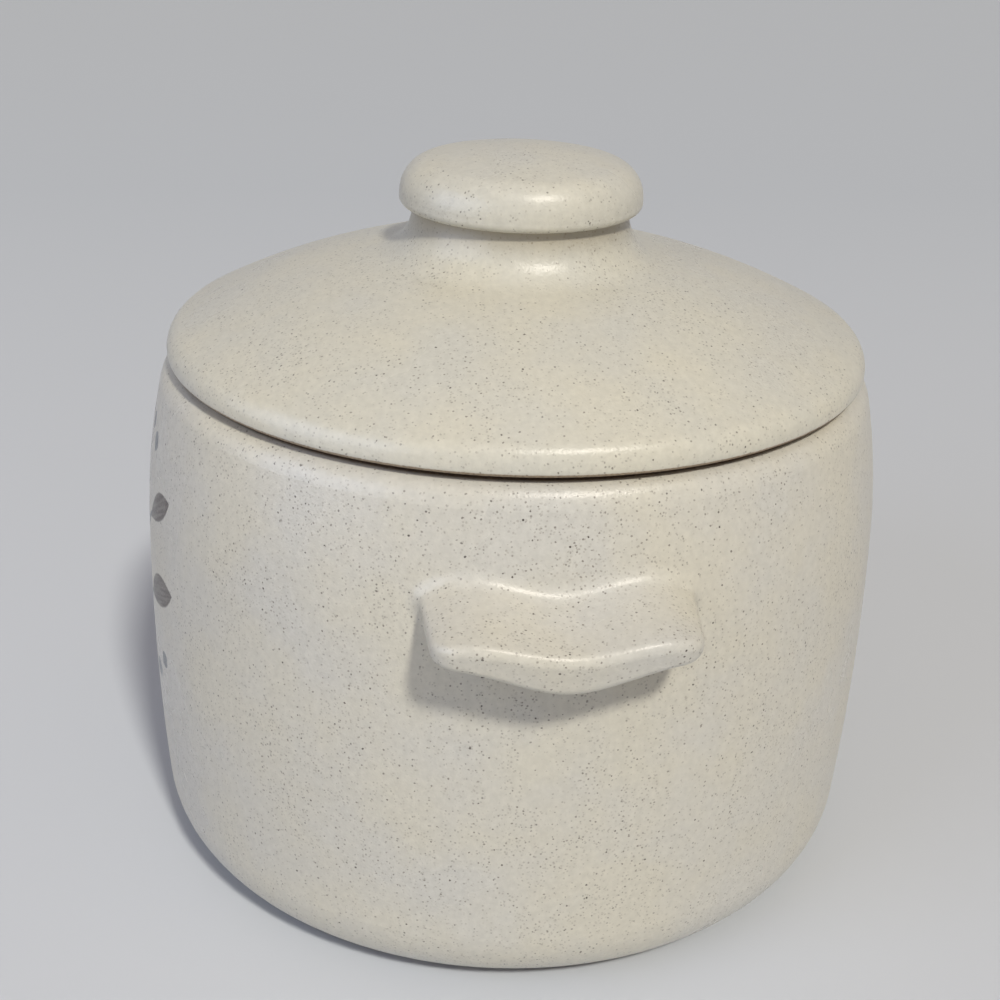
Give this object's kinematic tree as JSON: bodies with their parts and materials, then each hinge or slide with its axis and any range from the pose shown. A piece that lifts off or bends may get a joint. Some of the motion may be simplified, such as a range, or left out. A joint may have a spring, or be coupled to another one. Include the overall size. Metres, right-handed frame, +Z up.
{
  "type": "bean pot",
  "caption": "Bellied stoneware bean pot with drooping lug handles, and a domed lift-off lid with a button knob, in speckled oatmeal glaze.",
  "frame": {"origin": "centre of the foot ring, on the surface that the pot stands on", "axes": "+Z up along the axis of the pot and lid; +X through the right handle; the front of the pot faces -Y"},
  "size_m": [0.2202, 0.184, 0.1782],
  "materials": {
    "body_glaze": "satin oatmeal glaze with fine brown iron specks over buff stoneware; foot ring bare",
    "handle_glaze": "satin oatmeal glaze with fine brown iron specks",
    "lid_glaze": "satin oatmeal glaze with fine brown iron specks; seat and lower edge bare",
    "knob_glaze": "satin oatmeal glaze with fine brown iron specks"
  },
  "bodies": {
    "pot": {"pot_body": "body_glaze", "handle_right": "handle_glaze", "handle_left": "handle_glaze"},
    "lid": {"lid": "lid_glaze", "lid_knob": "knob_glaze"}
  },
  "joints": [
    {"name": "lid_lift", "type": "slide", "parent": "pot", "child": "lid", "axis": [0, 0, 1], "range_m": [0, 0.12]}
  ]
}
